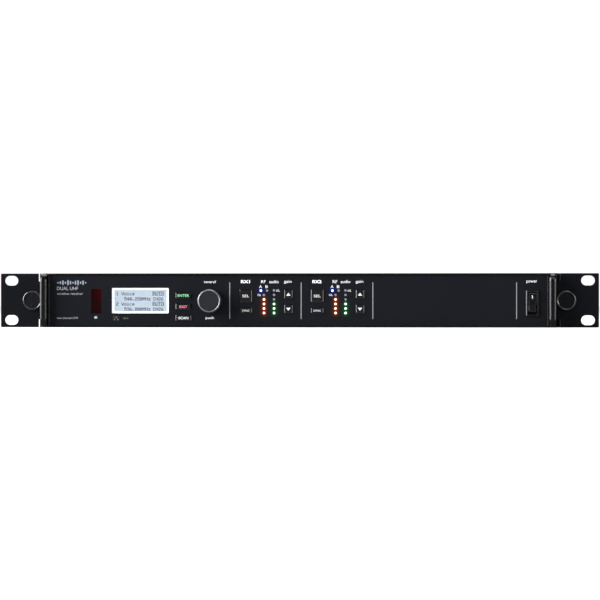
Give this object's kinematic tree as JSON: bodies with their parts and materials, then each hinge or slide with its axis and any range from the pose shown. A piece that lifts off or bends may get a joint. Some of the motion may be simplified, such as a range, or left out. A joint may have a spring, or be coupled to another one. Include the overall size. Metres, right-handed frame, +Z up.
{
  "type": "wireless microphone receiver",
  "caption": "Rack-mount wireless microphone receiver with a display, push knob, keys, level meters, rocker power switch and rear sockets.",
  "frame": {"origin": "centre of the four rack slots, on the rear face of the ears where they meet the rack rails", "axes": "+X to the right seen from the front, -Y out of the front panel, +Z up"},
  "size_m": [0.4826, 0.274, 0.0436],
  "materials": {
    "chassis_coat": "satin powder coat",
    "face_coat": "satin, fine texture",
    "ear_coat": "satin powder coat",
    "frame_plastic": "fine moulded texture",
    "key_plastic": "satin moulded",
    "knob_finish": "satin with a bright turned edge",
    "rocker_plastic": "glossy moulded",
    "plug_plastic": "moulded",
    "screw_zinc": "bright zinc",
    "bracket_zinc": "zinc plated sheet",
    "ir_red": "dark red filter",
    "sensor_black": "dark epoxy",
    "display_glass": "clear lens",
    "display_panel": "backlit panel",
    "display_holder": "white moulded",
    "status_lens": "smoked lens",
    "blue_lens": "clear light pipe",
    "amber_lens": "clear light pipe",
    "green_lens": "clear light pipe",
    "led_chip": "white package",
    "board_green": "solder mask",
    "switch_black": "moulded",
    "steel_shaft": "turned",
    "rotor_brass": "plain",
    "shield_tin": "tin plated",
    "cable_grey": "flat cable sheath",
    "supply_mix": "wound parts and cans",
    "wire_brown": "insulation",
    "inlet_plastic": "moulded",
    "pin_nickel": "nickel plated",
    "socket_nickel": "nickel plated",
    "core_ivory": "insulator",
    "pin_gold": "plated",
    "jack_black": "moulded, nickel ring",
    "lever_white": "moulded",
    "network_tin": "shielded shell"
  },
  "bodies": {
    "root": {"chassis_tray": "chassis_coat", "top_cover": "chassis_coat", "cover_screws": "screw_zinc", "front_frame": "frame_plastic", "faceplate": "face_coat", "end_guards": "frame_plastic", "front_bracket": "bracket_zinc", "rack_ear_left": "ear_coat", "rack_ear_right": "ear_coat", "ear_plugs": "plug_plastic", "ear_screws": "screw_zinc", "ir_window": "ir_red", "ir_transceiver": "sensor_black", "lcd_window": "display_glass", "lcd_panel": "display_panel", "lcd_holder": "display_holder", "status_lenses": "status_lens", "antenna_lenses": "blue_lens", "rf_meter_lenses": "amber_lens", "audio_meter_lenses": "green_lens", "front_leds": "led_chip", "front_board": "board_green", "key_switches": "switch_black", "encoder_body": "steel_shaft", "encoder_nut": "steel_shaft", "power_switch_frame": "rocker_plastic", "main_board": "board_green", "board_standoffs": "bracket_zinc", "tuner_shields": "shield_tin", "ribbon_cable": "cable_grey", "power_supply_board": "board_green", "power_supply_parts": "supply_mix", "mains_wires": "wire_brown", "ac_inlet": "inlet_plastic", "ac_inlet_pins": "pin_nickel", "antenna_sockets": "socket_nickel", "antenna_socket_cores": "core_ivory", "output_sockets": "socket_nickel", "output_socket_pins": "pin_gold", "line_jacks": "jack_black", "level_switch_bodies": "switch_black", "network_jacks": "network_tin"},
    "enter_button": {"enter_button": "key_plastic"},
    "exit_button": {"exit_button": "key_plastic"},
    "scan_button": {"scan_button": "key_plastic"},
    "select_button_1": {"select_button_1": "key_plastic"},
    "sync_button_1": {"sync_button_1": "key_plastic"},
    "gain_up_button_1": {"gain_up_button_1": "key_plastic"},
    "gain_down_button_1": {"gain_down_button_1": "key_plastic"},
    "select_button_2": {"select_button_2": "key_plastic"},
    "sync_button_2": {"sync_button_2": "key_plastic"},
    "gain_up_button_2": {"gain_up_button_2": "key_plastic"},
    "gain_down_button_2": {"gain_down_button_2": "key_plastic"},
    "encoder_rotor": {"encoder_rotor": "rotor_brass"},
    "knob": {"knob_shaft": "steel_shaft", "knob": "knob_finish"},
    "power_rocker": {"power_rocker": "rocker_plastic"},
    "level_lever_1": {"level_lever_1": "lever_white"},
    "level_lever_2": {"level_lever_2": "lever_white"}
  },
  "joints": [
    {"name": "enter_button_press", "type": "slide", "parent": "root", "child": "enter_button", "axis": [0, 1, 0], "range_m": [0, 0.0008], "stiffness_N_per_m": 2000},
    {"name": "exit_button_press", "type": "slide", "parent": "root", "child": "exit_button", "axis": [0, 1, 0], "range_m": [0, 0.0008], "stiffness_N_per_m": 2000},
    {"name": "scan_button_press", "type": "slide", "parent": "root", "child": "scan_button", "axis": [0, 1, 0], "range_m": [0, 0.0008], "stiffness_N_per_m": 2000},
    {"name": "select_button_1_press", "type": "slide", "parent": "root", "child": "select_button_1", "axis": [0, 1, 0], "range_m": [0, 0.0008], "stiffness_N_per_m": 2000},
    {"name": "sync_button_1_press", "type": "slide", "parent": "root", "child": "sync_button_1", "axis": [0, 1, 0], "range_m": [0, 0.0008], "stiffness_N_per_m": 2000},
    {"name": "gain_up_button_1_press", "type": "slide", "parent": "root", "child": "gain_up_button_1", "axis": [0, 1, 0], "range_m": [0, 0.0008], "stiffness_N_per_m": 2000},
    {"name": "gain_down_button_1_press", "type": "slide", "parent": "root", "child": "gain_down_button_1", "axis": [0, 1, 0], "range_m": [0, 0.0008], "stiffness_N_per_m": 2000},
    {"name": "select_button_2_press", "type": "slide", "parent": "root", "child": "select_button_2", "axis": [0, 1, 0], "range_m": [0, 0.0008], "stiffness_N_per_m": 2000},
    {"name": "sync_button_2_press", "type": "slide", "parent": "root", "child": "sync_button_2", "axis": [0, 1, 0], "range_m": [0, 0.0008], "stiffness_N_per_m": 2000},
    {"name": "gain_up_button_2_press", "type": "slide", "parent": "root", "child": "gain_up_button_2", "axis": [0, 1, 0], "range_m": [0, 0.0008], "stiffness_N_per_m": 2000},
    {"name": "gain_down_button_2_press", "type": "slide", "parent": "root", "child": "gain_down_button_2", "axis": [0, 1, 0], "range_m": [0, 0.0008], "stiffness_N_per_m": 2000},
    {"name": "knob_turn", "type": "hinge", "parent": "root", "child": "encoder_rotor", "pos_m": [-0.0697, -0.003, -0.0005], "axis": [0, -1, 0], "continuous": true},
    {"name": "knob_push", "type": "slide", "parent": "encoder_rotor", "child": "knob", "axis": [0, 1, 0], "range_m": [0, 0.0006], "stiffness_N_per_m": 4000},
    {"name": "power_rock", "type": "hinge", "parent": "root", "child": "power_rocker", "pos_m": [0.1884, -0.0056, -0.0023], "axis": [1, 0, 0], "range_deg": [0, 16]},
    {"name": "level_slide_1", "type": "slide", "parent": "root", "child": "level_lever_1", "axis": [1, 0, 0], "range_m": [0, 0.0025]},
    {"name": "level_slide_2", "type": "slide", "parent": "root", "child": "level_lever_2", "axis": [1, 0, 0], "range_m": [0, 0.0025]}
  ]
}
